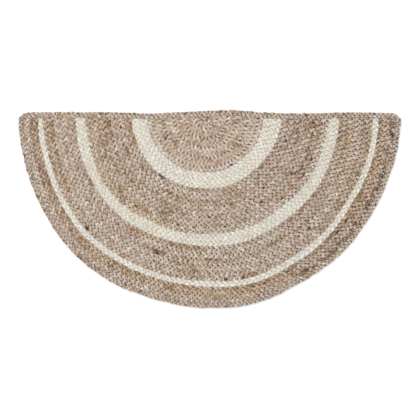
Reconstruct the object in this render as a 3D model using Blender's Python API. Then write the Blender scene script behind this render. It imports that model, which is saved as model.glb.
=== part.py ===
"""Half-round doormat of braided jute, lying flat on the floor. Metres, +Z up.

Half-rings of flat braid are sewn side by side round a hub on the straight edge, in bands of
natural and cream yarn. One more braid, the edge braid, is sewn all round the outside, over
the cut ends of the half-rings. The straight edge faces +Y and the curved edge -Y.

A bearing goes round the hub in degrees: 0 is the left end of the straight edge, 90 the
middle of the curved edge, and 180 the right end.
"""

import math
from collections import namedtuple

import bmesh
import bpy

MM = 0.001

CROWN_HEIGHT = 9.0 * MM  # floor to the top of a braid row
GROOVE_HEIGHT = 5.6 * MM  # floor to the groove between two rows
EDGE_BRAID_WIDTH = 12.0 * MM
STRAIGHT_BRAID_WIDTH = 13.0 * MM  # the edge braid's width on the straight edge
CORNER_RADIUS = 21.0 * MM
SEWING_GAP = 0.3 * MM  # between two pieces that are sewn together

# Across one row: the share of its width, and the share of its crown's rise from the groove
ROW_PROFILE = ((0.0, 0.0), (0.22, 0.8), (0.5, 1.0), (0.78, 0.8))

GROOVE_WANDER = 0.5 * MM  # how far a groove strays from its even place
CROWN_WANDER = 0.35 * MM  # how far a crown rises and dips along its row

# The two waves that add up to a row's wander: radians for each half turn round the hub,
# radians from one row to the next, and its share
Wave = namedtuple("Wave", "along from_row share")
WAVES = (Wave(4.1, 2.4, 0.6), Wave(9.7, 1.3, 0.4))

# The seams between bands, in mm from the hub, at bearings 15 degrees apart from 0 to 180
SEAM_BEARINGS_APART = 15
SEAMS = {
    "coil_outside": (129, 127, 125, 122, 120, 118, 117, 118, 118, 118, 121, 122, 125),
    "wide_cream_outside": (165, 161, 160, 159, 155, 154, 153, 154, 154, 154, 157, 161, 163),
    "middle_cream_inside": (265, 262, 265, 263, 256, 254, 252, 254, 254, 255, 260, 262, 268),
    "middle_cream_outside": (286, 286, 286, 286, 282, 279, 279, 282, 280, 283, 286, 287, 291),
    "narrow_cream_inside": (358, 355, 357, 359, 355, 354, 355, 361, 356, 357, 356, 362, 364),
    "narrow_cream_outside": (369, 367, 369, 371, 368, 366, 368, 374, 371, 371, 369, 374, 377),
    "mat_outside": (412, 410, 411, 415, 414, 412, 415, 418, 414, 418, 418, 421, 426),
}

# The straight edge, in mm above the hub, at places 60 mm apart from 420 mm left of the hub
STRAIGHT_EDGE = (13, 15, 15, 15, 14, 12, 15, 17.5, 19.5, 14.5, 12.5, 12.5, 14.5, 14.5, 12)
STRAIGHT_EDGE_START = -420 * MM
STRAIGHT_EDGE_APART = 60 * MM
STRAIGHT_CUT = 20 * MM  # between cuts across the edge braid there

CORNER_CUTS = 6
CORNER_START = 1.2  # degrees from a ring's end to where the arc round a corner starts
EDGE_CUTS = 40

Band = namedtuple("Band", "name rows inner_seam outer_seam yarn cuts")
BANDS = (
    Band("centre_coil", 11, None, "coil_outside", "natural", 20),
    Band("wide_cream_band", 3, "coil_outside", "wide_cream_outside", "cream", 20),
    Band("inner_natural_band", 9, "wide_cream_outside", "middle_cream_inside", "natural", 40),
    Band("middle_cream_band", 2, "middle_cream_inside", "middle_cream_outside", "cream", 40),
    Band("outer_natural_band", 6, "middle_cream_outside", "narrow_cream_inside", "natural", 40),
    Band("narrow_cream_band", 1, "narrow_cream_inside", "narrow_cream_outside", "cream", 40),
    Band("rim_natural_band", 3, "narrow_cream_outside", "edge_braid_inside", "natural", 40),
)

# Yarn colours as linear red, green, blue
YARN_COLOURS = {"natural": (0.43, 0.34, 0.26), "cream": (0.69, 0.64, 0.56)}
YARN_ROUGHNESS = 0.95

SHARP_ANGLE = math.radians(50)
MERGE_DISTANCE = 0.001 * MM


def clear_scene():
    for item in list(bpy.data.objects):
        bpy.data.objects.remove(item, do_unlink=True)


def make_yarn(name):
    material = bpy.data.materials.new(name + "_jute")
    material.use_nodes = True
    shader = material.node_tree.nodes["Principled BSDF"]
    shader.inputs["Base Color"].default_value = (*YARN_COLOURS[name], 1.0)
    shader.inputs["Roughness"].default_value = YARN_ROUGHNESS
    shader.inputs["Metallic"].default_value = 0.0
    return material


def smooth_read(table, place):
    """Read an evenly spaced table at a place counted in its columns, on a smooth curve."""
    last = len(table) - 1
    place = min(max(place, 0.0), float(last))
    column = min(int(place), last - 1)
    t = place - column
    before, here, there, after = (
        table[min(max(column + k, 0), last)] for k in (-1, 0, 1, 2)
    )
    slope_here = (there - before) / 2
    slope_there = (after - here) / 2
    rise = there - here
    bend = 3 * rise - 2 * slope_here - slope_there
    twist = slope_here + slope_there - 2 * rise
    return here + t * (slope_here + t * (bend + t * twist))


def seam_radius(seam, bearing):
    if seam is None:
        return 0.0
    if seam == "edge_braid_inside":
        return seam_radius("mat_outside", bearing) - EDGE_BRAID_WIDTH
    return smooth_read(SEAMS[seam], bearing / SEAM_BEARINGS_APART) * MM


def straight_edge(x):
    """Height of the straight edge above the hub, on straight lines between its cuts."""
    cut = math.floor(x / STRAIGHT_CUT)
    low, high = (
        smooth_read(STRAIGHT_EDGE, (k * STRAIGHT_CUT - STRAIGHT_EDGE_START) / STRAIGHT_EDGE_APART)
        for k in (cut, cut + 1)
    )
    return (low + (high - low) * (x / STRAIGHT_CUT - cut)) * MM


def cut_line(x):
    """Where the edge braid starts, over the cut ends of the half-rings."""
    return straight_edge(x) - STRAIGHT_BRAID_WIDTH


def ring_point(radius, bearing):
    """A point of a half-ring. Towards its two ends a ring runs straight up to the cut line."""
    angle = math.radians(bearing)
    x = -radius * math.cos(angle)
    near_end = (1 - math.sin(angle)) ** 2
    lift = (cut_line(x) - SEWING_GAP) * near_end
    return x, lift - radius * math.sin(angle)


def wave(row, turns):
    """A slow wave between -1 and 1 along a row, different for each row.

    turns counts half turns round the hub.
    """
    return sum(
        each.share * math.sin(each.along * turns + each.from_row * row) for each in WAVES
    )


def row_columns(rows):
    """The points across a band: each with its place in rows, its row and its rise."""
    columns = [(row + share, row, rise) for row in range(rows) for share, rise in ROW_PROFILE]
    columns.append((float(rows), rows, 0.0))
    return columns


def band_height(row, rise, turns):
    crown = CROWN_HEIGHT - CROWN_WANDER * (1 - wave(row + 0.5, turns)) / 2
    return GROOVE_HEIGHT + (crown - GROOVE_HEIGHT) * rise


def ring_section(band, bearing):
    """One cut across a band, from its inner side to its outer side."""
    gap = SEWING_GAP / 2
    inner = seam_radius(band.inner_seam, bearing) + (gap if band.inner_seam else 0.0)
    outer = seam_radius(band.outer_seam, bearing) - gap
    turns = bearing / 180
    section = []
    for place, row, rise in row_columns(band.rows):
        inside = 0 < place < band.rows
        stray = GROOVE_WANDER * wave(place, turns) if inside else 0.0
        radius = inner + (outer - inner) * place / band.rows + stray
        section.append((*ring_point(radius, bearing), band_height(row, rise, turns)))
    return section


def edge_section(inner, outer, turns):
    """One cut across the edge braid, between its inner and its outer point."""
    section = []
    for place, row, rise in row_columns(1):
        x, y = (a + (b - a) * place for a, b in zip(inner, outer))
        section.append((x, y, band_height(row, rise, turns)))
    return section


def rounded(x, y):
    """Bring a point of the outline to the arc round a corner, if it lies beyond its middle."""
    side = math.copysign(1.0, x)
    across = side * (seam_radius("mat_outside", 90 + 90 * side) - CORNER_RADIUS)
    up = straight_edge(across) - CORNER_RADIUS
    if (x - across) * side <= 0 or y <= up:
        return x, y
    share = CORNER_RADIUS / math.hypot(x - across, y - up)
    return across + (x - across) * share, up + (y - up) * share


def corner_pair(x, side, angle):
    """The edge braid fans out round the corner of the rows. Angle 0 is level, 90 upright."""
    turn = math.radians(angle)
    reach_x, reach_y = EDGE_BRAID_WIDTH * math.cos(turn), EDGE_BRAID_WIDTH * math.sin(turn)
    corner = (x, cut_line(x))
    return corner, (x + side * reach_x, corner[1] + reach_y)


def edge_braid_sections():
    """The edge braid, along the curve from left to right and back along the straight edge."""
    bearings = [180 * cut / EDGE_CUTS for cut in range(EDGE_CUTS + 1)]
    pairs = []
    for bearing in sorted(bearings + [CORNER_START, 180 - CORNER_START]):
        inner = seam_radius("edge_braid_inside", bearing) + SEWING_GAP / 2
        outer = seam_radius("mat_outside", bearing)
        pairs.append((ring_point(inner, bearing), ring_point(outer, bearing)))

    left = -(seam_radius("edge_braid_inside", 0) + SEWING_GAP / 2)
    right = seam_radius("edge_braid_inside", 180) + SEWING_GAP / 2
    corner_angles = [90 * cut / CORNER_CUTS for cut in range(CORNER_CUTS + 1)]
    pairs += [corner_pair(right, 1, angle) for angle in corner_angles]
    first, last = math.ceil(left / STRAIGHT_CUT), math.floor(right / STRAIGHT_CUT)
    for cut in range(last, first - 1, -1):
        x = cut * STRAIGHT_CUT
        pairs.append(((x, cut_line(x)), (x, straight_edge(x))))
    pairs += [corner_pair(left, -1, angle) for angle in reversed(corner_angles)]
    pairs = [(inner, rounded(*outer)) for inner, outer in pairs]
    return [edge_section(*pair, 2 * k / len(pairs)) for k, pair in enumerate(pairs)]


def close_strip(name, sections, yarn, loop=False, hub=False):
    """Make one closed solid from cuts across a strip: its ribbed top, flat base and sides.

    A loop joins its last cut to its first. A strip with a hub starts at one point, where
    its two halves meet, and so it has no inner side.
    """
    mesh = bmesh.new()
    top = [[mesh.verts.new(point) for point in section] for section in sections]
    ends = () if loop else (0, len(sections) - 1)
    base = []
    for k, section in enumerate(sections):
        points = section if k in ends else (section[0], section[-1])
        base.append([mesh.verts.new((x, y, 0.0)) for x, y, _ in points])

    pairs = [(k, k + 1) for k in range(len(sections) - 1)]
    if loop:
        pairs.append((len(sections) - 1, 0))
    for k, n in pairs:
        for c in range(len(top[k]) - 1):
            mesh.faces.new((top[k][c], top[k][c + 1], top[n][c + 1], top[n][c]))
        mesh.faces.new((*reversed(base[k]), *base[n]))
        mesh.faces.new((top[k][-1], base[k][-1], base[n][-1], top[n][-1]))
        if not hub:
            mesh.faces.new((top[n][0], base[n][0], base[k][0], top[k][0]))
    for k in ends:
        for c in range(len(top[k]) - 1):
            mesh.faces.new((top[k][c], base[k][c], base[k][c + 1], top[k][c + 1]))

    bmesh.ops.remove_doubles(mesh, verts=mesh.verts, dist=MERGE_DISTANCE)
    bmesh.ops.dissolve_degenerate(mesh, edges=mesh.edges, dist=MERGE_DISTANCE)
    bmesh.ops.recalc_face_normals(mesh, faces=mesh.faces)
    data = bpy.data.meshes.new(name)
    mesh.to_mesh(data)
    mesh.free()
    data.shade_smooth()
    data.set_sharp_from_angle(angle=SHARP_ANGLE)
    data.materials.append(yarn)
    strip = bpy.data.objects.new(name, data)
    bpy.context.collection.objects.link(strip)
    return strip


def middle_of(sections):
    """Middle of the box round the mat, so that the model can stand with it at the origin."""
    xs = [point[0] for section in sections for point in section]
    ys = [point[1] for section in sections for point in section]
    return (min(xs) + max(xs)) / 2, (min(ys) + max(ys)) / 2


def main():
    clear_scene()
    yarns = {name: make_yarn(name) for name in YARN_COLOURS}
    edge_sections = edge_braid_sections()
    middle_x, middle_y = middle_of(edge_sections)
    hub = bpy.data.objects.new("hub_of_the_rings", None)
    hub.location = (-middle_x, -middle_y, 0.0)
    bpy.context.collection.objects.link(hub)

    strips = [close_strip("edge_braid", edge_sections, yarns["natural"], loop=True)]
    for band in BANDS:
        sections = [ring_section(band, 180 * k / band.cuts) for k in range(band.cuts + 1)]
        strip = close_strip(band.name, sections, yarns[band.yarn], hub=band.inner_seam is None)
        strips.append(strip)
    for strip in strips:
        strip.parent = hub


main()
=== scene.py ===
"""Half-round doormat of braided jute: every braid row with its plaits, and the picture's light.

Each band of rows is one mesh that a Geometry Nodes tree makes from a guide line for each row.
Its two yarns, natural and cream, are procedural. A bearing goes round the hub of the rings in
degrees: 0 is the left end of the straight edge, 90 the middle of the curved edge, and 180 the
right end.
"""

import math
from collections import namedtuple
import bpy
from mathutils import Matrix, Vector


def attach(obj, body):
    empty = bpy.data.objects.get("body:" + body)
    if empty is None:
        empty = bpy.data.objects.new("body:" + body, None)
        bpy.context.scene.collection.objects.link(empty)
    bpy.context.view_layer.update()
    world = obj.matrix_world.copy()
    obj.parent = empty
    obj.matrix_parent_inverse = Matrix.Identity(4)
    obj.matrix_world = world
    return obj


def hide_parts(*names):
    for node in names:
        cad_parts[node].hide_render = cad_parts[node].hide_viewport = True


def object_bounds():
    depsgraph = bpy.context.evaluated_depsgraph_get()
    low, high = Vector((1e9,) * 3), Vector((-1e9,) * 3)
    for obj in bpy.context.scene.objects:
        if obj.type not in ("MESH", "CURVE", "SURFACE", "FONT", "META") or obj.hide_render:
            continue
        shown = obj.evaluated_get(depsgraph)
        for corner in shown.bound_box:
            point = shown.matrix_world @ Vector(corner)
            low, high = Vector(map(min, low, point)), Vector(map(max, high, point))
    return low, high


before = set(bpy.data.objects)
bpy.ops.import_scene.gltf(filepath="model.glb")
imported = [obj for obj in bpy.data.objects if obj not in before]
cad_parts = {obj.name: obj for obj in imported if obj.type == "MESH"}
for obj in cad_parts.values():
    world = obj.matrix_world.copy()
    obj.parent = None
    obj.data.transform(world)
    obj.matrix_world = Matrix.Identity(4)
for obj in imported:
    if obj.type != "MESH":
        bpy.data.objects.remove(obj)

from types import SimpleNamespace

import bpy

CAD_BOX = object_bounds()

MM = 0.001
TURN = 2 * math.pi

# The mat's sizes, most of them the same as its solids have
EDGE_BRAID_WIDTH = 12.0 * MM
STRAIGHT_BRAID_WIDTH = 13.0 * MM  # the edge braid's width on the straight edge
CORNER_RADIUS = 21.0 * MM
SEWING_GAP = 0.3 * MM  # between two solids
YARN_GAP = 0.1 * MM  # between the braids of two bands, whose yarn nearly touches
NESTLE = 1.0 * MM  # the rows of one band press into each other by this much on each side
HUB_RADIUS = 0.8 * MM
GROOVE_WANDER = 0.5 * MM  # how far a groove strays from its even place
THINNING = 0.03  # a row is at most twice this thinner in places

# The two waves that add up to a row's wander: radians for each half turn round the hub,
# radians from one row to the next, and its share
Wave = namedtuple("Wave", "along from_row share")
WAVES = (Wave(4.1, 2.4, 0.6), Wave(9.7, 1.3, 0.4))

# The seams between bands, in mm from the hub, at bearings 15 degrees apart from 0 to 180
SEAM_BEARINGS_APART = 15
SEAMS = {
    "coil_outside": (129, 127, 125, 122, 120, 118, 117, 118, 118, 118, 121, 122, 125),
    "wide_cream_outside": (165, 161, 160, 159, 155, 154, 153, 154, 154, 154, 157, 161, 163),
    "middle_cream_inside": (265, 262, 265, 263, 256, 254, 252, 254, 254, 255, 260, 262, 268),
    "middle_cream_outside": (286, 286, 286, 286, 282, 279, 279, 282, 280, 283, 286, 287, 291),
    "narrow_cream_inside": (358, 355, 357, 359, 355, 354, 355, 361, 356, 357, 356, 362, 364),
    "narrow_cream_outside": (369, 367, 369, 371, 368, 366, 368, 374, 371, 371, 369, 374, 377),
    "mat_outside": (412, 410, 411, 415, 414, 412, 415, 418, 414, 418, 418, 421, 426),
}

# The straight edge, in mm above the hub, at places 60 mm apart from 420 mm left of the hub
STRAIGHT_EDGE = (13, 15, 15, 15, 14, 12, 15, 17.5, 19.5, 14.5, 12.5, 12.5, 14.5, 14.5, 12)
STRAIGHT_EDGE_START = -420 * MM
STRAIGHT_EDGE_APART = 60 * MM

BEARINGS = [cut / 2 for cut in range(361)]  # of the points along a ring's guide line
CORNER_CUTS = 12
STRAIGHT_CUT = 2 * MM

# The bands: the piece, the node it stands for, its rows and seams, its yarn, the length of one
# plait, how faded it is, paler and greyer, and whether its rows are turned: then the plaits lie
# the other way in every second row
Band = namedtuple("Band", "piece node rows inner_seam outer_seam yarn plait fade turned")
BANDS = (
    Band("coil_braids", "centre_coil", 11, None, "coil_outside", "natural",
         8.6 * MM, -0.1, True),
    Band("wide_cream_braids", "wide_cream_band", 3, "coil_outside", "wide_cream_outside",
         "cream", 11.0 * MM, 0.1, False),
    Band("inner_natural_braids", "inner_natural_band", 9, "wide_cream_outside",
         "middle_cream_inside", "natural", 11.4 * MM, 0.0, False),
    Band("middle_cream_braids", "middle_cream_band", 2, "middle_cream_inside",
         "middle_cream_outside", "cream", 11.0 * MM, 0.0, False),
    Band("outer_natural_braids", "outer_natural_band", 6, "middle_cream_outside",
         "narrow_cream_inside", "natural", 11.0 * MM, 0.0, False),
    Band("narrow_cream_braid", "narrow_cream_band", 1, "narrow_cream_inside",
         "narrow_cream_outside", "cream", 12.6 * MM, 0.2, False),
    Band("rim_natural_braids", "rim_natural_band", 3, "narrow_cream_outside",
         "edge_braid_inside", "natural", 11.0 * MM, -0.05, False),
)
SLOTS = {"natural": "natural_jute", "cream": "cream_jute"}

# Turned rows have plaits that slant more and are more even in length
TURNED_SLANT = 0.5
TURNED_STRETCH = 0.08

# The edge braid's plaits, their side's scallops, and its yarn, faded and soiled all round
EDGE_PLAIT = 9.6 * MM
EDGE_SCALLOP = 0.25
EDGE_FADE = 0.12
EDGE_SHADE = -0.1

# The stains of each piece, as the photo has them: the row counted from the hub's side, the
# bearings where it starts and ends, its shade from -1 (dark) to 1 (pale), and its warmth from
# -1 (grey) to 1 (golden)
STAINS = {
    "coil_braids": (
        (0, 0, 180, -0.4, 0), (1, 0, 70, -0.3, 0), (1, 118, 143, -0.5, 0.4),
        (3, 38, 70, 0.1, 0.7), (5, 2, 52, 0.2, 0.2), (5, 96, 124, -0.1, 0),
        (6, 0, 165, 0.5, 0), (7, 32, 43, -0.5, 0.6), (7, 140, 168, -0.4, 0.3),
        (8, 19, 28, -0.9, 0), (8, 128, 146, -0.5, 0.2), (9, 93, 106, -0.6, 0.2),
        (10, 0, 170, 0.5, -0.2),
    ),
    "wide_cream_braids": ((2, 50, 54, -0.8, -0.3), (1, 68, 72, -0.6, 0.3)),
    "inner_natural_braids": (
        (0, 0, 21, -0.4, 0.8), (0, 79, 83, -0.7, 0.2), (0, 120, 180, -0.2, 0.3),
        (1, 35, 43, -0.6, -0.4), (1, 46, 106, 0.7, -0.3), (1, 109, 112, -0.9, 0.1),
        (2, 16, 34, -0.6, -0.3), (2, 60, 118, -0.2, 0.6), (2, 60, 73, -0.7, 0.9),
        (2, 135, 180, -0.5, 0), (2, 145, 152, -0.7, 0.5), (3, 55, 58, -0.8, 0.2),
        (3, 69, 72, -0.6, 0.7), (3, 103, 107, -0.6, 0.1), (3, 163, 180, -0.7, -0.3),
        (4, 0, 12, -0.7, 0.6), (4, 30, 48, 0.0, 0.9), (4, 60, 74, -0.4, 0.9),
        (4, 148, 180, -0.5, 0.6), (5, 0, 16, -0.5, 0.4), (5, 60, 79, -0.5, -0.4),
        (5, 143, 180, -0.4, 0.4), (6, 0, 22, -0.6, 0.8), (6, 61, 70, -0.6, -0.3),
        (6, 106, 146, -0.4, 0), (6, 146, 180, -0.8, 0.4), (7, 38, 58, -0.5, 0.8),
        (7, 140, 180, -0.5, 0.5), (8, 0, 76, 0.7, 0.8), (8, 76, 180, 0.9, -0.1),
    ),
    "outer_natural_braids": (
        (0, 52, 90, -0.4, 0.7), (0, 124, 180, -0.4, 0.4), (0, 170, 175, -0.8, 0),
        (1, 61, 121, 0.5, -0.3), (1, 161, 180, -0.6, 0.5), (2, 66, 73, -0.8, 0.3),
        (2, 76, 180, -0.1, 0.6), (2, 89, 95, -0.7, 0.1), (2, 130, 144, -0.6, 0.3),
        (3, 0, 76, 0.5, -0.4), (3, 77, 81, -0.5, -0.3), (3, 91, 151, 0.5, 0),
        (4, 0, 29, -0.5, 0.4), (4, 80, 88, -0.6, 0.8), (4, 133, 180, -0.5, -0.1),
        (5, 103, 112, -0.5, 0.3), (5, 135, 180, -0.6, 0.4),
    ),
    "narrow_cream_braid": ((0, 0, 0.6, -0.9, 0.6), (0, 179.4, 180, -0.9, 0.6)),
    "rim_natural_braids": (
        (0, 0, 118, -0.4, 0.6), (0, 16, 29, -0.7, 0.7), (0, 118, 180, -0.6, 0.5),
        (0, 134, 150, -0.7, 0.5), (1, 0, 24, -0.7, -0.1), (1, 24, 66, -0.3, 0.6),
        (1, 76, 120, 0.0, 0.7), (1, 132, 180, -0.5, 0.3), (2, 0, 106, 0.5, -0.4),
        (2, 118, 180, -0.8, -0.3),
    ),
    "edge_braid_plaits": ((0, 20, 26, -0.5, 0), (0, 31, 34, -0.4, 0), (0, 47, 62, -0.4, 0.2)),
}
STAIN_FADE = 1.5  # degrees over which a stain starts and ends

# The nearly black spots of each piece, on one side of a row: the row, the bearing, and the
# side, which is -1 towards the hub and 1 away from it
SPOTS = {
    "coil_braids": ((10, 118.5, 1),),
    "inner_natural_braids": (
        (0, 52.5, -1), (1, 164.5, 1), (2, 6, -1), (3, 129.5, 1), (5, 91.5, 1),
        (5, 123.5, 1), (5, 147, 1), (7, 51, 1), (7, 75, 1), (7, 100, 1), (7, 133.5, 1),
        (7, 150, 1), (7, 159, 1),
    ),
    "outer_natural_braids": ((2, 70, 1), (3, 133, 1), (5, 42.5, 1), (5, 97, 1), (5, 103, 1)),
    "rim_natural_braids": (
        (0, 105.5, 1), (0, 109.5, 1), (0, 118, 1), (0, 139, 1), (0, 144, 1), (2, 123.5, 1),
        (2, 152, 1), (2, 157.5, 1), (2, 162, 1), (2, 175, 1),
    ),
    "edge_braid_plaits": (
        (0, 11.5, 1), (0, 25, 1), (0, 29.5, 1), (0, 40.5, 1), (0, 48, 1), (0, 64, -1),
        (0, 69, -1), (0, 96, 1), (0, 129, 1), (0, 145.5, -1), (0, 174, 1),
    ),
}
SPOT_LENGTH = 5.5 * MM
EDGE_SPOT = 0.6  # how dark the edge braid's spots are, as a share of the others

# The places of such spots on the outside of the straight edge, in mm from the hub
STRAIGHT_EDGE_SPOTS = (-280, -231, -220, -185, -157, -47, 31, 75, 133, 219, 300, 367)

# One plait across and along, for the Geometry Nodes tree
BRAID_HEIGHT = 9.0 * MM
STEPS_A_PLAIT = 8
TOP_STEPS = 14
UNDER_STEPS = 6
STRAND_THICKNESS = 6.5 * MM
STRAND_REACH = 10.0 * MM  # along a strand, from the braid's side to its middle
SPARE_STEPS = 16  # past each cut end, so that the slanted plaits are cut off square
MERGE_DISTANCE = 0.002 * MM
TUBE_RADIUS = 1.0 * MM  # of the tubes, before their points are moved
FIRST_START = 0.31  # how far on in a plait the first row starts
NEXT_START = 0.618  # and how much further on each next row or pair of rows does
PLAITS_A_STRETCH = 1.3  # how many plaits it takes from longer ones to shorter ones
STRAY_SIZE = 10.0 * MM  # the size of the small bends in everything sewn
LOBE_POWER = 0.5  # the lower this is, the fuller a lobe is, and the sharper its creases
MIDDLE_LOBE = 0.62  # the height that lobes blend into in the braid's middle
LOBE_BULGE = 0.16  # how much further out one lobe may come than another in a groove

# How much steeper a square side is than a round one, and the shares of its scallops that it
# loses and of the way to the seam that its last column moves out
SQUARE_STEEPER = 0.27
SQUARE_SMOOTHER = 0.6
SQUARE_OUT = 0.8

# The numbers that the tree takes, and what they are where a piece doesn't say
PLAIT_NUMBERS = {
    "Plait Length": 11.0 * MM,
    "Braid Height": BRAID_HEIGHT,
    "Slant": 0.46,
    "Zigzag": 0.2,
    "Crease Depth": 0.5,
    "Middle Dip": 0.34,
    "Scallop": 0.2,
    "Unevenness": 0.28,
    "Stretch": 0.16,
    "Stray": 1.7 * MM,
    "Side Slope": 0.4,
    "Under Slope": 0.8,
    "Joined Ends": 0.0,
    "Paired Rows": 0.0,
}

# The photo's frame and camera
PHOTO_SIDE = 420
METRES_A_PIXEL = 838 * MM / 382  # the mat's width, in metres and in pixels
MAT_MIDDLE_IN_PHOTO = (209.6, 209.05)
CAMERA_HEIGHT = 3.0
SENSOR_WIDTH = 36.0

# The floor and the soft light round and above the mat
FLOOR_HALF = 3.0
FLOOR_COLOUR = (0.95, 0.95, 0.95, 1.0)
FLOOR_ROUGHNESS = 0.9
WORLD_STRENGTH = 1.05
LAMP_POWER = 28.0
LAMP_SIZE = 1.6
LAMP_PLACE = (-0.8, 1.0, 2.5)


class Wire:
    """An output socket of a tree. Arithmetic on it adds Math nodes."""

    def __init__(self, desk, socket):
        self.desk = desk
        self.socket = socket

    def math(self, operation, *others):
        values = dict(enumerate((self, *others)))
        return self.desk.node("ShaderNodeMath", {"operation": operation}, values)

    def __add__(self, other):
        return self.math("ADD", other)

    def __sub__(self, other):
        return self.math("SUBTRACT", other)

    def __mul__(self, other):
        return self.math("MULTIPLY", other)

    def __truediv__(self, other):
        return self.math("DIVIDE", other)

    def __pow__(self, other):
        return self.math("POWER", other)

    def __rsub__(self, other):
        return self.desk.constant(other).math("SUBTRACT", self)

    def __rtruediv__(self, other):
        return self.desk.constant(other).math("DIVIDE", self)

    __radd__ = __add__
    __rmul__ = __mul__

    def abs(self):
        return self.math("ABSOLUTE")

    def floor(self):
        return self.math("FLOOR")

    def sin(self):
        return self.math("SINE")

    def cos(self):
        return self.math("COSINE")

    def above(self, other):
        return self.math("GREATER_THAN", other)

    def clamped(self, low, high):
        return self.math("MAXIMUM", low).math("MINIMUM", high)

    def step(self, low, high, start=0.0, end=1.0):
        """A smooth step from start to end while this value goes from low to high."""
        values = {0: self, 1: low, 2: high, 3: start, 4: end}
        return self.desk.node("ShaderNodeMapRange", {"interpolation_type": "SMOOTHSTEP"}, values)

    def toward(self, other, share):
        """This value mixed with another one by share."""
        return self + (other - self) * share

    def tinted(self, other, share, kind="MIX"):
        """This colour mixed with another one by share."""
        settings = {"data_type": "RGBA", "blend_type": kind}
        return self.desk.node("ShaderNodeMix", settings, {0: share, 6: self, 7: other}, 2)


class Desk:
    """Adds nodes to one tree, for geometry or for a material."""

    def __init__(self, tree):
        self.tree = tree

    def node(self, kind, settings=None, values=None, output=0):
        made = self.tree.nodes.new(kind)
        for name, value in (settings or {}).items():
            setattr(made, name, value)
        for key, value in (values or {}).items():
            if isinstance(value, Wire):
                self.tree.links.new(value.socket, made.inputs[key])
            else:
                made.inputs[key].default_value = value
        if output is None:
            return made
        return Wire(self, made.outputs[output])

    def constant(self, value):
        return self.node("ShaderNodeMath", {"operation": "ADD"}, {0: value, 1: 0.0})

    def vector(self, x, y, z=0.0):
        return self.node("ShaderNodeCombineXYZ", None, {0: x, 1: y, 2: z})

    def parts(self, vector):
        made = self.node("ShaderNodeSeparateXYZ", None, {0: vector}, output=None)
        return [Wire(self, socket) for socket in made.outputs]

    def noise(self, x, y, z=0.0, detail=1.0):
        """Noise between about -1 and 1, with its features one unit apart.

        z is often only a number that keeps this noise apart from others.
        """
        values = {"Vector": self.vector(x, y, z), "Scale": 1.0, "Detail": detail}
        return (self.node("ShaderNodeTexNoise", None, values) - 0.5) * 3.0


def smooth_read(table, place):
    """Read an evenly spaced table at a place counted in its columns, on a smooth curve."""
    last = len(table) - 1
    place = min(max(place, 0.0), float(last))
    column = min(int(place), last - 1)
    t = place - column
    before, here, there, after = (
        table[min(max(column + k, 0), last)] for k in (-1, 0, 1, 2)
    )
    slope_here = (there - before) / 2
    slope_there = (after - here) / 2
    rise = there - here
    bend = 3 * rise - 2 * slope_here - slope_there
    twist = slope_here + slope_there - 2 * rise
    return here + t * (slope_here + t * (bend + t * twist))


def seam_radius(seam, bearing):
    """How far a seam is from the hub. The coil starts at no seam, at the hub itself."""
    if seam is None:
        return 0.0
    if seam == "edge_braid_inside":
        return seam_radius("mat_outside", bearing) - EDGE_BRAID_WIDTH
    return smooth_read(SEAMS[seam], bearing / SEAM_BEARINGS_APART) * MM


def straight_edge(x):
    """How far the straight edge is above the hub."""
    return smooth_read(STRAIGHT_EDGE, (x - STRAIGHT_EDGE_START) / STRAIGHT_EDGE_APART) * MM


def cut_line(x):
    """Where the edge braid starts, over the cut ends of the half-rings."""
    return straight_edge(x) - STRAIGHT_BRAID_WIDTH


def ring_point(radius, bearing, gap=SEWING_GAP):
    """A point of a half-ring. Towards its two ends a ring runs straight up to the cut line."""
    angle = math.radians(bearing)
    x = -radius * math.cos(angle)
    near_end = (1 - math.sin(angle)) ** 2
    lift = (cut_line(x) - gap) * near_end
    return x, lift - radius * math.sin(angle)


def wave(row, turns):
    """A slow wave between -1 and 1 along a row, different for each row.

    turns counts half turns round the hub.
    """
    return sum(
        each.share * math.sin(each.along * turns + each.from_row * row) for each in WAVES
    )


def groove_radius(band, place, bearing):
    """Radius of the groove between two rows of a band, or of one of its sides."""
    gap = YARN_GAP / 2
    inner = seam_radius(band.inner_seam, bearing) + (gap if band.inner_seam else HUB_RADIUS)
    outer = seam_radius(band.outer_seam, bearing) - gap
    inside = 0 < place < band.rows
    stray = GROOVE_WANDER * wave(place, bearing / 180) if inside else 0.0
    return inner + (outer - inner) * place / band.rows + stray


def stain_at(piece, row, bearing):
    """The shade and warmth of a row at a bearing."""
    shade = warmth = 0.0
    for stained_row, start, end, its_shade, its_warmth in STAINS.get(piece, ()):
        if stained_row == row:
            inside = min(bearing - start, end - bearing) / STAIN_FADE + 0.5
            share = min(max(inside, 0.0), 1.0)
            shade += (its_shade - shade) * share
            warmth += (its_warmth - warmth) * share
    return shade, warmth


def spot_at(piece, row, bearing, radius):
    """How much of a spot is at a bearing of a row, and on which side: from -1 to 1."""
    for spotted_row, spot_bearing, side in SPOTS.get(piece, ()):
        if spotted_row == row:
            distance = math.radians(abs(bearing - spot_bearing)) * radius
            if distance < SPOT_LENGTH:
                return side * (1 - distance / SPOT_LENGTH)
    return 0.0


def straight_spot(x):
    """The same for the straight edge."""
    distance = min(abs(x - place * MM) for place in STRAIGHT_EDGE_SPOTS)
    return max(0.0, 1 - distance / SPOT_LENGTH)


# A stop of a guide line: its place, half the row's width there, how thick the row is there,
# how faded its yarn is, a stain's shade and warmth, a spot, and how square its inner and outer
# side are, from 0 to 1
Stop = namedtuple("Stop", "x y half_width plump fade shade warmth spot square_in square_out")


def stop_between(inner, outer, shade=EDGE_SHADE, warmth=0.0, spot=0.0):
    """A stop of the edge braid's guide line, in the middle between its two sides."""
    (x, y), (u, v) = inner, outer
    half_width = math.hypot(u - x, v - y) / 2
    middle = ((x + u) / 2, (y + v) / 2)
    return Stop(*middle, half_width, 1.0, EDGE_FADE, shade, warmth, spot, 1.0, 0.0)


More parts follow.
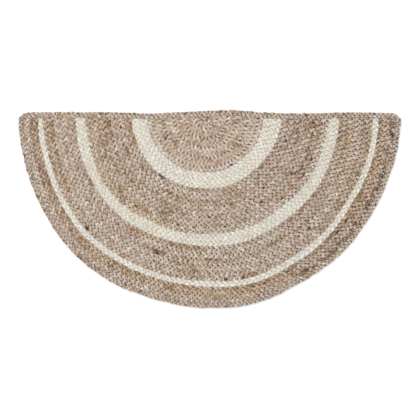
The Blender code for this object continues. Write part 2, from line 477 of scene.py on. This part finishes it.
def ring_guide(band, row):
    """The guide line of one row. Its sides are square at a seam, and round in a groove."""
    last = band.rows - 1
    square = (1.0 if row == 0 else 0.0, 1.0 if row == last else 0.0)
    guide = []
    for bearing in BEARINGS:
        inner = groove_radius(band, row, bearing) - (0.0 if row == 0 else NESTLE)
        outer = groove_radius(band, row + 1, bearing) + (0.0 if row == last else NESTLE)
        middle = ring_point((inner + outer) / 2, bearing, YARN_GAP)
        plump = 1 - THINNING * (1 - wave(row + 0.5, bearing / 180))
        marks = (*stain_at(band.piece, row, bearing), spot_at(band.piece, row, bearing, outer))
        guide.append(Stop(*middle, (outer - inner) / 2, plump, band.fade, *marks, *square))
    return guide


def rounded(x, y):
    """Bring a point of the outline to the arc round a corner, if it lies beyond its middle."""
    side = math.copysign(1.0, x)
    across = side * (seam_radius("mat_outside", 90 + 90 * side) - CORNER_RADIUS)
    up = straight_edge(across) - CORNER_RADIUS
    if (x - across) * side <= 0 or y <= up:
        return x, y
    share = CORNER_RADIUS / math.hypot(x - across, y - up)
    return across + (x - across) * share, up + (y - up) * share


def corner_pair(x, side, angle):
    """The edge braid fans out round the corner of the rows. Angle 0 is level, 90 upright."""
    turn = math.radians(angle)
    reach_x, reach_y = EDGE_BRAID_WIDTH * math.cos(turn), EDGE_BRAID_WIDTH * math.sin(turn)
    corner = (x, cut_line(x))
    return corner, (x + side * reach_x, corner[1] + reach_y)


def edge_pairs():
    """The edge braid's inner and outer side, and its marks, at places all round the mat.

    They run along the curve from left to right, and back on the straight edge.
    """
    pairs = []
    for bearing in BEARINGS:
        inner = seam_radius("edge_braid_inside", bearing) + YARN_GAP / 2
        outer = seam_radius("mat_outside", bearing)
        shade, warmth = stain_at("edge_braid_plaits", 0, bearing)
        spot = EDGE_SPOT * spot_at("edge_braid_plaits", 0, bearing, outer)
        marks = (min(shade, EDGE_SHADE), warmth, spot)
        pairs.append((ring_point(inner, bearing), ring_point(outer, bearing), *marks))
    left = -(seam_radius("edge_braid_inside", 0) + YARN_GAP / 2)
    right = seam_radius("edge_braid_inside", 180) + YARN_GAP / 2
    angles = [90 * cut / CORNER_CUTS for cut in range(1, CORNER_CUTS + 1)]
    pairs += [corner_pair(right, 1, angle) for angle in angles]
    cuts = round((right - left) / STRAIGHT_CUT)
    for cut in range(1, cuts):
        x = right + (left - right) * cut / cuts
        marks = (EDGE_SHADE, 0.0, EDGE_SPOT * straight_spot(x))
        pairs.append(((x, cut_line(x)), (x, straight_edge(x)), *marks))
    pairs += [corner_pair(left, -1, angle) for angle in reversed(angles)]
    return [(inner, rounded(*outer), *marks) for inner, outer, *marks in pairs]


def guide_length(guide, joined=False):
    """The length of a guide line. If it's joined, it runs back to its start."""
    ends = guide[1:] + (guide[:1] if joined else [])
    return sum(math.hypot(b.x - a.x, b.y - a.y) for a, b in zip(guide, ends))


def flat_size(band, guides):
    """A band's flat size and area: its braids side by side before they are pressed together.

    The coil's flat shape is a half-disc, and the others' a strip of all their rows.
    """
    area = sum(
        (start.half_width + end.half_width) * math.hypot(end.x - start.x, end.y - start.y)
        for guide in guides for start, end in zip(guide, guide[1:])
    )
    if band.inner_seam is None:
        across = 2 * seam_radius(band.outer_seam, 0)
        return (across, area / across / (math.pi / 4)), area
    length = sum(guide_length(guide) for guide in guides) / band.rows
    return (length, area / length), area


def hub_place(outline):
    """Where the hub lies, so that the mat fills the box of its solids."""
    xs, ys = zip(*outline)
    (low_x, low_y, _), (high_x, high_y, _) = CAD_BOX
    hub_x = (low_x + high_x) / 2 - (min(xs) + max(xs)) / 2
    hub_y = (low_y + high_y) / 2 - (min(ys) + max(ys)) / 2
    return hub_x, hub_y


class PlaitDesk(Desk):
    """The desk of the tree that plaits rows, with the values that several of its steps use.

    What it reads by name comes from a guide line, or a step has stored it on the rows.
    """

    def __init__(self, tree):
        super().__init__(tree)
        self.given = self.node("NodeGroupInput", output=None)
        self.joined = self.option("Joined Ends")
        self.open_end = 1 - self.joined
        self.paired = self.option("Paired Rows")
        self.turn = self.read("turn")
        self.row = self.read("row").math("ROUND")
        self.row_length = self.read("row_length")
        self.pitch = self.row_length / self.read("plaits")

        self.across = self.read("across")  # from the inner side, -1, to the outer side, 1
        self.reach = self.across.abs()  # from the middle, 0, to the sides, 1
        self.outer = self.across.above(0.0)
        self.upward = self.read("upward")  # from the underside, -1, to the top, 1
        self.top = self.upward.above(0.0)
        self.along = self.read("along")  # in metres
        self.phase = self.read("phase")  # in plaits

        # The lobe here: its chance from 0 to 1, and how round it is across
        side_phase = self.phase + self.outer * 0.5
        lobe = self.vector(side_phase.floor() * 2 + self.outer, self.row, self.option("Seed"))
        self.chance = self.node("ShaderNodeTexWhiteNoise", None, {"Vector": lobe})
        self.round_lobe = (side_phase * math.pi).sin().abs() ** LOBE_POWER

    def option(self, name):
        return Wire(self, self.given.outputs[name])

    def read(self, name, kind="FLOAT"):
        return self.node("GeometryNodeInputNamedAttribute", {"data_type": kind}, {0: name})

    def store(self, geometry, name, value, domain="POINT", kind="FLOAT"):
        settings = {"data_type": kind, "domain": domain}
        values = {"Geometry": geometry, "Name": name, "Value": value}
        return self.node("GeometryNodeStoreNamedAttribute", settings, values)

    def on_faces(self, value):
        settings = {"domain": "FACE", "data_type": "FLOAT"}
        return self.node("GeometryNodeFieldOnDomain", settings, {0: value})


def cut_rows(desk):
    """The guide lines, with a whole number of plaits on each, and rows of stations on them.

    In the coil, two rows that meet in a dark groove have as many plaits as each other.
    """
    guides = desk.node("GeometryNodeMeshToCurve", None, {0: desk.option("Guides")})
    guides = desk.store(guides, "guide", desk.node("GeometryNodeInputIndex"), "CURVE", "INT")
    length = desk.node("GeometryNodeSplineLength")
    guides = desk.store(guides, "row_length", length, "CURVE")
    to_groove = desk.paired * desk.turn * (desk.read("half_width") - NESTLE) * math.pi
    plaits = ((length - to_groove) / desk.option("Plait Length")).math("ROUND")
    guides = desk.store(guides, "plaits", plaits.math("MAXIMUM", 1.0), "CURVE")
    stations = desk.read("plaits") * STEPS_A_PLAIT + desk.open_end * (1 + 2 * SPARE_STEPS)
    rows = desk.node("GeometryNodeResampleCurve", {"mode": "COUNT"},
                      {"Curve": guides, "Count": stations})
    station = desk.node("GeometryNodeSplineParameter", output="Index")
    return guides, desk.store(rows, "station", station)


def sweep_tubes(desk, rows):
    """A tube along each row, with the angle of each column round it."""
    ring = desk.node("GeometryNodeCurvePrimitiveCircle", None,
                      {"Resolution": TOP_STEPS + UNDER_STEPS, "Radius": TUBE_RADIUS})
    ring = desk.store(ring, "column", desk.node("GeometryNodeInputIndex"))
    tubes = desk.node("GeometryNodeCurveToMesh", None,
                       {"Curve": rows, "Profile Curve": ring, "Fill Caps": True})
    tubes = desk.node("GeometryNodeFlipFaces", None, {0: tubes})
    column = desk.read("column")
    over = column.math("MINIMUM", TOP_STEPS) * (math.pi / TOP_STEPS)
    under = (column - TOP_STEPS).math("MAXIMUM", 0.0) * (math.pi / UNDER_STEPS)
    angle = over + under
    tubes = desk.store(tubes, "angle", angle)
    tubes = desk.store(tubes, "across", angle.cos())
    return desk.store(tubes, "upward", angle.sin())


def slant_stations(desk, tubes):
    """Store how far along its row each point is, in plaits and in metres."""
    # Stations crowd together at the creases, which the strands of the two sides have in turn
    even = (desk.read("station") - desk.open_end * SPARE_STEPS) / STEPS_A_PLAIT
    crowd = ((even + desk.outer * 0.5) * TURN).sin() * (-0.5 / TURN)
    even = even + crowd * desk.reach.step(0.0, 0.35)

    # They slant, and past a cut end they're all brought back to it
    pair = ((desk.row + desk.paired) / (1 + desk.paired)).floor()
    start = (pair * NEXT_START + FIRST_START).math("FRACT") * desk.open_end
    slope = desk.upward.math("ARCSINE") * (2 / math.pi)
    shift = (slope * desk.option("Slant") * desk.turn - start) * desk.pitch
    along = even * desk.pitch + shift
    along = along.clamped(0.0, desk.row_length).toward(along, desk.joined)
    tubes = desk.store(tubes, "phase", (along - shift) / desk.pitch)

    # Some plaits are longer and some shorter, with noise that closes up on a joined row
    lap = along * TURN / desk.row_length
    bend = desk.row_length / (TURN * PLAITS_A_STRETCH * desk.pitch)
    apart = desk.row * 3.7 + desk.option("Seed") * 0.37
    stretch = desk.noise(lap.cos() * bend, lap.sin() * bend, apart)
    near_end = (along.math("MINIMUM", desk.row_length - along) / desk.pitch).clamped(0.0, 1.0)
    stretch = stretch * desk.option("Stretch") * near_end.toward(1.0, desk.joined)
    return desk.store(tubes, "along", along + stretch * desk.pitch)


def read_guides(desk, guides):
    """What the guide lines say at each point's place along its row."""
    lapped = desk.along.math("WRAP", desk.row_length, 0.0)
    length = desk.along.toward(lapped, desk.joined)
    there = {}
    for name in Stop._fields[2:]:
        sample = desk.node(
            "GeometryNodeSampleCurve", {"mode": "LENGTH", "data_type": "FLOAT"},
            {"Curves": guides, "Value": desk.read(name), "Length": length,
             "Curve Index": desk.read("guide", "INT")},
            output=None,
        )
        there[name] = Wire(desk, sample.outputs["Value"])
    there["place"] = Wire(desk, sample.outputs["Position"])
    there["tangent"] = Wire(desk, sample.outputs["Tangent"])
    there["square"] = there["square_in"].toward(there["square_out"], desk.outer)
    return there


def raise_lobes(desk, tubes, there):
    """Store each point's height: lobes, uneven from one strand to the next, and a dip."""
    lobed = desk.constant(MIDDLE_LOBE).toward(desk.round_lobe, desk.reach.step(0.0, 0.3))
    swelling = 1 + (desk.chance - 0.5) * desk.option("Unevenness") * lobed
    dip = 1 - desk.reach.step(0.0, 0.7, 1.0, 0.0) * desk.option("Middle Dip")
    top_slope = desk.option("Side Slope") - SQUARE_STEEPER * there["square"]
    slope = desk.option("Under Slope").toward(top_slope, desk.top)
    body = desk.upward.abs() ** slope * dip
    crease = 1 - (1 - lobed) * desk.option("Crease Depth")
    return desk.store(tubes, "relief", body * crease * swelling)


def move_points(desk, tubes, there):
    """Move each point to its place, with small bends in everything sewn."""
    zigzag = (desk.phase * TURN).cos() * (1 - desk.reach) ** 2 * desk.option("Zigzag")
    smoother = 1 - SQUARE_SMOOTHER * there["square"]
    notch = desk.option("Scallop") * smoother * desk.reach.step(0.4, 1.0)
    scallop = 1 - (1 - desk.round_lobe * desk.round_lobe) * notch
    bulge = 1 + (desk.chance - 0.5) * LOBE_BULGE * (1 - there["square"])
    to_seam = there["square"] * SQUARE_OUT * desk.reach.step(0.85, 0.97)
    out = desk.across.toward(desk.outer * 2 - 1, to_seam) * scallop * bulge
    offset = (out - zigzag) * there["half_width"]
    half_height = desk.option("Braid Height") * 0.5 * there["plump"]
    sign = desk.top * 2 - 1
    height = half_height * (1 + sign * desk.read("relief").math("MINIMUM", 1.0))

    x, y, _ = desk.parts(there["place"])
    tangent_x, tangent_y, _ = desk.parts(there["tangent"])
    x = x + offset * tangent_y
    y = y - offset * tangent_x
    stray_x = desk.noise(x / STRAY_SIZE, y / STRAY_SIZE, 1.7) * desk.option("Stray")
    stray_y = desk.noise(x / STRAY_SIZE, y / STRAY_SIZE, 6.1) * desk.option("Stray")
    target = desk.vector(x + stray_x, y + stray_y, height)
    return desk.node("GeometryNodeSetPosition", None, {"Geometry": tubes, "Position": target})


def mark_for_yarn(desk, tubes, there):
    """Store what the yarn's material reads at each point."""
    for name in ("fade", "shade", "warmth", "spot"):
        tubes = desk.store(tubes, "yarn_" + name, there[name])
    tubes = desk.store(tubes, "light_side", desk.turn * desk.paired)
    free_side = desk.joined * desk.outer * desk.reach.step(0.3, 0.8)
    tubes = desk.store(tubes, "free_side", free_side)
    sewn_side = desk.joined * (1 - desk.outer) * desk.reach.step(0.6, 0.95)
    return desk.store(tubes, "sewn_side", sewn_side)


def mark_strands(desk, tubes):
    """Store which strand each face is on, and the way along and across it."""
    face_outer = desk.on_faces(desk.across).above(0.0)
    face_lobe = (desk.on_faces(desk.phase) + face_outer * 0.5).floor()
    crossing = face_lobe * 2 - face_outer
    strand = crossing - (crossing / 3).floor() * 3 + desk.row * 3
    tubes = desk.store(tubes, "crossing", crossing + desk.row * 1000, "FACE")
    tubes = desk.store(tubes, "strand", strand, "FACE")

    # Below the outer side, the angle is counted back from the first column's, which is 0
    closing = (1 - desk.on_faces(desk.upward).above(0.0)) * face_outer
    turned_back = closing * desk.read("column").above(0.5) * -TURN
    reach_along = (desk.read("angle") + turned_back) * (STRAND_REACH * 2 / math.pi)
    across_strand = (desk.phase + face_outer * 0.5 - face_lobe) * STRAND_THICKNESS
    fibre = desk.vector(reach_along, across_strand)
    return desk.store(tubes, "fibre", fibre, "CORNER", "FLOAT2")


def braid_tree():
    """The tree that turns guide lines into plaited rows.

    A row is a flat tube. Its columns go round it: over the top from the outer side to the
    inner side, and back below. Its stations go along it, and lie slanted in a V, as the
    strands do. A plait is one strand on the inner side and one on the outer side, half a
    plait further on, and each strand is a rounded lobe between two creases.
    """
    tree = bpy.data.node_groups.new("plaited_rows", "GeometryNodeTree")
    kinds = {"Guides": "NodeSocketGeometry", **dict.fromkeys(PLAIT_NUMBERS, "NodeSocketFloat"),
             "Seed": "NodeSocketInt", "Yarn": "NodeSocketMaterial"}
    sockets = {}
    for name, kind in kinds.items():
        item = tree.interface.new_socket(name=name, in_out="INPUT", socket_type=kind)
        if name in PLAIT_NUMBERS:
            item.default_value = PLAIT_NUMBERS[name]
        sockets[name] = item.identifier
    tree.interface.new_socket(name="Braids", in_out="OUTPUT", socket_type="NodeSocketGeometry")

    desk = PlaitDesk(tree)
    guides, rows = cut_rows(desk)
    tubes = slant_stations(desk, sweep_tubes(desk, rows))
    there = read_guides(desk, guides)
    tubes = mark_for_yarn(desk, raise_lobes(desk, tubes, there), there)
    tubes = mark_strands(desk, move_points(desk, tubes, there))

    tubes = desk.node("GeometryNodeMergeByDistance", None,
                       {"Geometry": tubes, "Distance": MERGE_DISTANCE})
    tubes = desk.node("GeometryNodeSetShadeSmooth", None, {"Geometry": tubes})
    tubes = desk.node("GeometryNodeRealizeInstances", None, {"Geometry": tubes})
    tubes = desk.node("GeometryNodeSetMaterial", None,
                       {"Geometry": tubes, "Material": desk.option("Yarn")})
    end = desk.node("NodeGroupOutput", output=None)
    tree.links.new(tubes.socket, end.inputs["Braids"])
    return tree, sockets


def new_object(name, data):
    """An object in the scene."""
    made = bpy.data.objects.new(name, data)
    bpy.context.collection.objects.link(made)
    return made


def guide_mesh(name, guides, hub, turns, joined):
    """One line of edges for each row, with what the tree reads at each of its points."""
    points = []
    edges = []
    columns = {name: [] for name in Stop._fields[2:] + ("turn", "row")}
    for row, guide in enumerate(guides):
        start = len(points)
        for x, y, *told in guide:
            points.append((hub[0] + x, hub[1] + y, 0.0))
            for column, value in zip(columns.values(), (*told, turns[row], float(row))):
                column.append(value)
        edges += [(k, k + 1) for k in range(start, len(points) - 1)]
        if joined:
            edges.append((len(points) - 1, start))
    mesh = bpy.data.meshes.new(name + "_guides")
    mesh.from_pydata(points, edges, [])
    for column, values in columns.items():
        layer = mesh.attributes.new(column, "FLOAT", "POINT")
        layer.data.foreach_set("value", values)
    return mesh


def plait_rows(name, guides, tree, sockets, yarn, plait, hub, seed, turned=False, edge=False):
    """Run the tree over the guide lines and return the rows as one plain mesh object."""
    turns = [-1.0 if turned and row % 2 else 1.0 for row in range(len(guides))]
    host = new_object(name + "_host", guide_mesh(name, guides, hub, turns, edge))
    modifier = host.modifiers.new("plaits", "NODES")
    modifier.node_group = tree
    settings = {
        "Plait Length": plait,
        "Joined Ends": 1.0 if edge else 0.0,
        "Paired Rows": 1.0 if turned else 0.0,
        "Seed": seed,
        "Yarn": yarn,
    }
    if turned:
        settings["Slant"] = TURNED_SLANT
        settings["Stretch"] = TURNED_STRETCH
    if edge:
        settings["Scallop"] = EDGE_SCALLOP
    for label, value in settings.items():
        modifier[sockets[label]] = value
    bpy.context.view_layer.update()
    graph = bpy.context.evaluated_depsgraph_get()
    mesh = bpy.data.meshes.new_from_object(host.evaluated_get(graph))
    mesh.name = name
    host.modifiers.remove(modifier)
    bpy.data.objects.remove(host, do_unlink=True)
    return new_object(name, mesh)


def colour(red, green, blue):
    """A colour as the photo shows it, from 0 to 255, made linear."""
    def linear(value):
        share = value / 255
        return share / 12.92 if share <= 0.04045 else ((share + 0.055) / 1.055) ** 2.4
    return (linear(red), linear(green), linear(blue), 1.0)


# What a yarn looks like: the colour of its specks of bark and of the painted shade in the gaps
# between its strands, its own colours from dark to pale, the tints that it leans to, and how
# many specks it has
Yarn = namedtuple("Yarn", "bark gap dark plain pale golden grey pinkish greenish specks")
YARNS = {
    "natural": Yarn(
        bark=colour(70, 46, 36), gap=colour(80, 52, 32), dark=colour(134, 106, 80),
        plain=colour(188, 172, 158), pale=colour(218, 209, 200), golden=(0.95, 0.88, 0.7, 1.0),
        grey=(0.93, 0.98, 1.02, 1.0), pinkish=(1.1, 0.84, 0.92, 1.0),
        greenish=(0.89, 1.06, 0.78, 1.0), specks=0.85,
    ),
    "cream": Yarn(
        bark=colour(112, 94, 72), gap=colour(165, 155, 138), dark=colour(187, 180, 165),
        plain=colour(212, 207, 197), pale=colour(226, 224, 218), golden=(1.0, 0.98, 0.86, 1.0),
        grey=(0.93, 0.99, 1.05, 1.0), pinkish=(1.09, 0.9, 0.97, 1.0),
        greenish=(0.9, 1.04, 0.86, 1.0), specks=0.15,
    ),
}
SPOT_COLOUR = colour(68, 42, 24)
YARNS_A_STRAND = 2
TWIST_LENGTH = 9.0 * MM  # along a strand, while one of its yarns crosses half of it
TWIST_WOBBLE = 0.25
FIBRE_WIDTH = 0.35 * MM
FIBRE_LENGTH = 6.0 * MM
TONE_LENGTH = 45.0 * MM  # along a strand, between its paler and darker lengths
ROW_TONE_LENGTH = 110.0 * MM
HUE_SPOT = 3.0 * MM
PATCH_SIZE = 120.0 * MM
BEAD_LENGTH = 2.6 * MM  # along a yarn, between its thicker and thinner places
SPECK_LENGTH = 3.0 * MM
SPECK_WIDTH = 1.6 * MM
FIBRE_DEPTH = 0.35 * MM
BUMP = 0.6
ROUGHNESS = 0.9
SHINE = 0.25
SHEEN = 0.08

# How much each of these adds to a yarn's tone, which goes from -1 (dark) to 1 (pale). One of them
# is painted light, on one side of the coil's rows.
TONE = SimpleNamespace(lobe=0.35, yarn=0.95, bead=0.5, grain=0.2, lit_and_shaded_side=0.25, strand=0.12,
                       row=0.1, patch=0.08, stain=0.5)

# And to its warmth, from -1 (grey) to 1 (golden). The last two are shares that the coil and a
# grey or golden stain take off the rest.
WARMTH = SimpleNamespace(strand=0.6, patch=0.25, lobe=0.9, yarn=1.2, coil=0.35, stained=0.5)

# How much light is lost. Of two numbers, the first is sure and the second a matter of chance.
LOST = SimpleNamespace(crack=(0.25, 1.1), furrow=(0.25, 0.85), pit=(0.2, 1.3), middle=0.2,
                       free_side=0.1, sewn_side=0.3, dots=0.9)

# How much less painted shade the coil has: in cracks and pits in a row's middle, and in furrows
CALM = SimpleNamespace(crack=0.9, pit=0.8, furrow=0.3)
GAP_POWER = 1.5  # the higher this is, the fewer gaps are deep
SHADE_DEEPER_TO_RIGHT = 0.5  # the painted shade between the strands is deeper to the right, by this share a metre
PALER_TO_RIGHT = 0.25  # and their yarn's tone is paler by this


class YarnDesk(Desk):
    """The desk of a yarn's material, with the values that several of its steps use."""

    def __init__(self, tree):
        super().__init__(tree)
        self.strand = self.read("strand")
        self.along = self.read("along")
        self.fade = self.read("yarn_fade")
        self.place_x, self.place_y, _ = self.parts(self.node("ShaderNodeTexCoord", output="Object"))

        # Across the row. calm is 1 in the coil. The mask below is up to 1 on that side of the
        # coil's rows where two of them meet in a dark groove: there the lobes get painted light and
        # the creases painted shade, as the light falls on the plaits' slant.
        self.across_row = self.read("across")
        self.from_middle = self.across_row.abs()
        turned = self.read("light_side")
        self.calm = turned.abs()
        self.lit_and_shaded_side = (-1 * turned * self.across_row).step(0.3, 0.85)

        # In its strand, from the strand's middle, 0, to its edge, 0.5, and in one of its yarns
        crossing = self.read("crossing")
        fibre_along, fibre_across, _ = self.parts(self.read("fibre", "Vector"))
        across = fibre_across / STRAND_THICKNESS
        self.edge = (across - 0.5).abs()
        wobble = self.noise(fibre_along / FIBRE_LENGTH, across, crossing * 1.7) * TWIST_WOBBLE
        yarn_place = across * YARNS_A_STRAND + fibre_along / TWIST_LENGTH + wobble
        yarn_number = yarn_place.floor()
        self.furrow = (yarn_place * math.pi).sin().abs().step(0.0, 0.45, 1.0, 0.0)

        # Thicker places of a yarn, fibres, specks of bark, and hues of the fibres
        self.bead = self.noise(fibre_along / BEAD_LENGTH, yarn_number * 3.3, crossing * 2.9)
        fibres = (fibre_along / FIBRE_LENGTH, fibre_across / FIBRE_WIDTH)
        self.grain = self.noise(*fibres, crossing * 3.1, 2.0)
        specks = (fibre_along / SPECK_LENGTH, fibre_across / SPECK_WIDTH)
        self.bark = self.noise(*specks, crossing * 2.3)
        self.lean = self.noise(self.place_x / HUE_SPOT, self.place_y / HUE_SPOT, crossing * 0.37)

        # Chances of a lobe and of each of its yarns
        self.lobe_chance, self.lobe_hue, gap_chance = self.chances(crossing)
        self.gap = gap_chance ** GAP_POWER
        yarn_chances = self.chances(crossing, yarn_number + 9)
        self.yarn_chance, self.yarn_hue, self.furrow_chance = yarn_chances

        # A stain lies in some of the lobes, and mostly in one of the three strands
        one_strand = (self.strand / 3).math("FRACT").math("LESS_THAN", 0.2)
        self.stained = one_strand.math("MAXIMUM", self.lobe_chance.above(0.7))
        self.stain = self.read("yarn_shade") * (0.4 + 0.6 * self.stained)

    def read(self, attribute, output="Fac"):
        settings = {"attribute_type": "GEOMETRY", "attribute_name": attribute}
        return self.node("ShaderNodeAttribute", settings, output=output)

    def chances(self, x, y=0.0):
        """Three chances from 0 to 1 for one lobe, or for one yarn of a lobe."""
        values = {"Vector": self.vector(x, y)}
        chosen = self.node("ShaderNodeTexWhiteNoise", {"noise_dimensions": "2D"}, values, "Color")
        return self.parts(chosen)

    def patch(self, apart):
        """Noise in large patches of the mat."""
        return self.noise(self.place_x / PATCH_SIZE, self.place_y / PATCH_SIZE, apart)


def yarn_tone(desk):
    """How dark, -1, or pale, 1, the yarn is, with painted light on one side of the coil's rows."""
    strand_tone = desk.noise(desk.along / TONE_LENGTH, desk.strand * 5.17)
    row_tone = desk.noise(desk.along / ROW_TONE_LENGTH, (desk.strand / 3).floor() * 2.7, 5.0)
    tone = TONE.lobe * (desk.lobe_chance - 0.5) + TONE.yarn * (desk.yarn_chance - 0.5)
    tone = tone + TONE.bead * desk.bead + TONE.grain * desk.grain
    # Painted light: paler lobes on one side of the coil's rows, beside a dark groove
    tone = tone + TONE.lit_and_shaded_side * desk.lit_and_shaded_side
    tone = tone + TONE.strand * strand_tone + TONE.row * row_tone + TONE.patch * desk.patch(3.7)
    tone = tone + PALER_TO_RIGHT * desk.place_x
    return tone + desk.stain * TONE.stain + desk.fade


def yarn_warmth(desk):
    """How grey, -1, or golden, 1, the yarn is."""
    strand_hue = desk.noise(desk.along / (2 * TONE_LENGTH), desk.strand * 3.31, 8.0)
    warmth = WARMTH.strand * strand_hue + WARMTH.patch * desk.patch(9.1)
    warmth = warmth + WARMTH.lobe * (desk.lobe_hue - 0.5) + WARMTH.yarn * (desk.yarn_hue - 0.5)
    stain = desk.read("yarn_warmth")
    warmth = warmth * (1 - WARMTH.coil * desk.calm - WARMTH.stained * stain.abs())
    return warmth + stain * (0.7 + 0.3 * desk.stained) - desk.fade


def painted(desk, yarn, tone, warmth):
    """The yarn's colour before any light is lost."""
    paint = desk.node("ShaderNodeMix", {"data_type": "RGBA"},
                       {0: tone.step(-1.0, 0.0), 6: yarn.dark, 7: yarn.plain}, 2)
    paint = paint.tinted(yarn.pale, tone.step(0.0, 1.0))
    paint = paint.tinted(yarn.golden, warmth.step(0.0, 1.2), "MULTIPLY")
    paint = paint.tinted(yarn.grey, warmth.step(-1.2, 0.0, 1.0, 0.0), "MULTIPLY")

    # The fibres lean to pink in places, and to green in others
    paint = paint.tinted(yarn.pinkish, desk.lean.step(0.0, 1.0), "MULTIPLY")
    paint = paint.tinted(yarn.greenish, desk.lean.step(-1.0, 0.0, 1.0, 0.0), "MULTIPLY")

    # Specks of bark, most of them in the darkest stains, and pale specks
    soil = desk.stain * desk.stain.abs()
    bark = 0.9 * desk.bark + 0.4 * (desk.lobe_chance - 0.5) - soil * 1.3
    paint = paint.tinted(yarn.bark, bark.step(0.75, 1.1) * yarn.specks)
    return paint.tinted(yarn.pale, (-1 * desk.bark).step(0.7, 1.1) * 0.6)


def lost_light(desk):
    """Light is lost between the strands, most of all in the braid's middle, where they cross.

    The coil loses little there, and more where two of its rows meet in a dark groove.
    """
    calm = desk.calm
    lit_and_shaded_side = desk.lit_and_shaded_side
    free_side = desk.read("free_side")
    middle = desk.from_middle.step(0.1, 0.5, 1.0, 0.0)

    # Cracks between two strands, and furrows between their yarns
    crack = desk.edge.step(0.32, 0.5) * (LOST.crack[0] + LOST.crack[1] * desk.gap)
    crack = crack * (1 + 1.5 * free_side)
    crack = crack * (1 + 0.15 * calm + 0.8 * lit_and_shaded_side) * (1 - CALM.crack * calm * middle)
    furrow = desk.furrow * (LOST.furrow[0] + LOST.furrow[1] * desk.furrow_chance)
    crack = crack + furrow * (1 - CALM.furrow * calm)

    # Pits in the middle, the coil's dots, and the edge braid's two sides
    pit = desk.edge.step(0.2, 0.46) * middle * (LOST.pit[0] + LOST.pit[1] * desk.gap)
    dark_middle = desk.from_middle.step(0.0, 0.8, LOST.middle, 0.0)
    lost = crack + (pit + dark_middle) * (1 - CALM.pit * calm) + LOST.free_side * free_side
    lost = lost + LOST.sewn_side * desk.read("sewn_side")
    # Painted shade: dark dots in the creases on that side of the coil's rows
    lost = lost + desk.edge.step(0.18, 0.42) * lit_and_shaded_side * LOST.dots
    # The painted shade is deeper towards the right.
    return (lost * (1 + SHADE_DEEPER_TO_RIGHT * desk.place_x)).clamped(0.0, 1.0)


def spotted(desk):
    """How much of a nearly black spot is here, on its side of the row."""
    spot = desk.read("yarn_spot")
    off_spot = (desk.across_row - spot.math("SIGN") * 0.45).abs().step(0.2, 0.5)
    return spot.abs().step(0.1, 0.6) * (1 - off_spot)


def make_yarn(name):
    """Jute in three strands of two yarns. Each strand has its own tone, and so has each yarn."""
    yarn = YARNS[name]
    material = bpy.data.materials.new(name + "_jute_yarn")
    material.use_nodes = True
    tree = material.node_tree
    desk = YarnDesk(tree)
    paint = painted(desk, yarn, yarn_tone(desk), yarn_warmth(desk))
    # Painted shade: the gap colour, where light is lost between the strands
    paint = paint.tinted(yarn.gap, lost_light(desk))
    paint = paint.tinted(SPOT_COLOUR, spotted(desk))
    roughness = (ROUGHNESS + 0.06 * desk.grain).clamped(0.7, 1.0)
    height = desk.grain * 0.5 - desk.furrow
    bump = desk.node("ShaderNodeBump", None,
                      {"Strength": BUMP, "Distance": FIBRE_DEPTH, "Height": height}, "Normal")

    shader = tree.nodes["Principled BSDF"]
    tree.links.new(paint.socket, shader.inputs["Base Color"])
    tree.links.new(roughness.socket, shader.inputs["Roughness"])
    tree.links.new(bump.socket, shader.inputs["Normal"])
    shader.inputs["Specular IOR Level"].default_value = SHINE
    shader.inputs["Sheen Weight"].default_value = SHEEN
    return material


def declare(piece, node, slot, flat, area=None):
    """Put a piece under the root body and hide the solid that it stands for. The slot and the flat
    size are not used.
    """
    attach(piece, "root")
    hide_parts(node)


def add_floor():
    corners = ((-1, -1), (1, -1), (1, 1), (-1, 1))
    mesh = bpy.data.meshes.new("floor")
    points = [(x * FLOOR_HALF, y * FLOOR_HALF, 0.0) for x, y in corners]
    mesh.from_pydata(points, [], [(0, 1, 2, 3)])
    material = bpy.data.materials.new("pale_floor")
    material.use_nodes = True
    shader = material.node_tree.nodes["Principled BSDF"]
    shader.inputs["Base Color"].default_value = FLOOR_COLOUR
    shader.inputs["Roughness"].default_value = FLOOR_ROUGHNESS
    mesh.materials.append(material)
    new_object("floor", mesh)


def add_light():
    world = bpy.data.worlds.new("studio")
    world.use_nodes = True
    background = world.node_tree.nodes["Background"]
    background.inputs["Color"].default_value = (1.0, 1.0, 1.0, 1.0)
    background.inputs["Strength"].default_value = WORLD_STRENGTH
    bpy.context.scene.world = world
    lamp = bpy.data.lights.new("softbox", "AREA")
    lamp.energy = LAMP_POWER
    lamp.size = LAMP_SIZE
    light = new_object("softbox", lamp)
    light.location = LAMP_PLACE
    aim = -light.location
    light.rotation_euler = aim.to_track_quat("-Z", "Y").to_euler()
    bpy.context.scene.view_settings.view_transform = "Standard"


def add_camera():
    """Straight above the mat, far enough off that its far side looks no smaller."""
    data = bpy.data.cameras.new("camera")
    data.sensor_width = SENSOR_WIDTH
    data.lens = SENSOR_WIDTH * CAMERA_HEIGHT / (PHOTO_SIDE * METRES_A_PIXEL)
    camera = new_object("camera", data)
    middle = PHOTO_SIDE / 2
    camera.location = (
        (middle - MAT_MIDDLE_IN_PHOTO[0]) * METRES_A_PIXEL,
        (MAT_MIDDLE_IN_PHOTO[1] - middle) * METRES_A_PIXEL,
        CAMERA_HEIGHT,
    )
    bpy.context.scene.camera = camera


def main():
    add_camera()
    add_light()
    add_floor()
    pairs = edge_pairs()
    hub = hub_place([outer for inner, outer, *marks in pairs])
    tree, sockets = braid_tree()
    yarns = {name: make_yarn(name) for name in SLOTS}
    for seed, band in enumerate(BANDS):
        guides = [ring_guide(band, row) for row in range(band.rows)]
        piece = plait_rows(band.piece, guides, tree, sockets, yarns[band.yarn], band.plait, hub,
                           seed, turned=band.turned)
        declare(piece, band.node, SLOTS[band.yarn], *flat_size(band, guides))
    guide = [stop_between(*pair) for pair in pairs]
    piece = plait_rows("edge_braid_plaits", [guide], tree, sockets, yarns["natural"],
                       EDGE_PLAIT, hub, len(BANDS), edge=True)
    declare(piece, "edge_braid", SLOTS["natural"], (guide_length(guide, True), EDGE_BRAID_WIDTH))


main()
